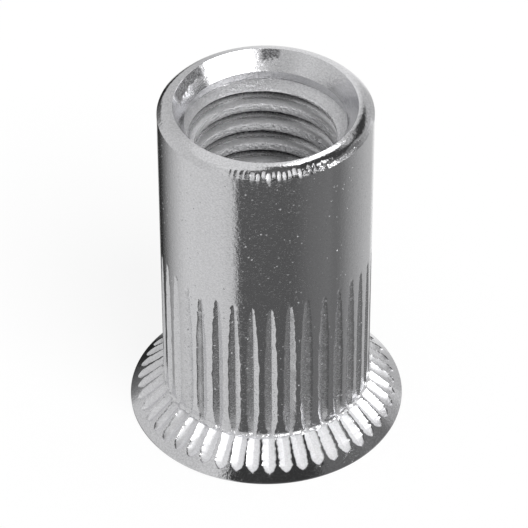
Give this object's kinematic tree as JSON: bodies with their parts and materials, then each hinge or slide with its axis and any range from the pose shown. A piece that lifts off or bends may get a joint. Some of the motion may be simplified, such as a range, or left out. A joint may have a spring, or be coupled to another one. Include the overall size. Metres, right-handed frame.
{
  "type": "rivet nut",
  "caption": "Blind rivet nut with a countersunk serrated head, a grooved barrel and an internal thread at its open end.",
  "frame": {"origin": "centre of the flat face of the head, which is also the middle of the object's footprint", "axes": "+Z along the axis from the head to the open threaded end; +X and +Y across it, with no preferred direction"},
  "size_m": [0.0172, 0.0172, 0.0228],
  "materials": {
    "zinc_plated_steel": "bright zinc plating over turned and pressed steel, with fine grain"
  },
  "bodies": {
    "root": {"rivet_nut": "zinc_plated_steel"}
  },
  "joints": []
}
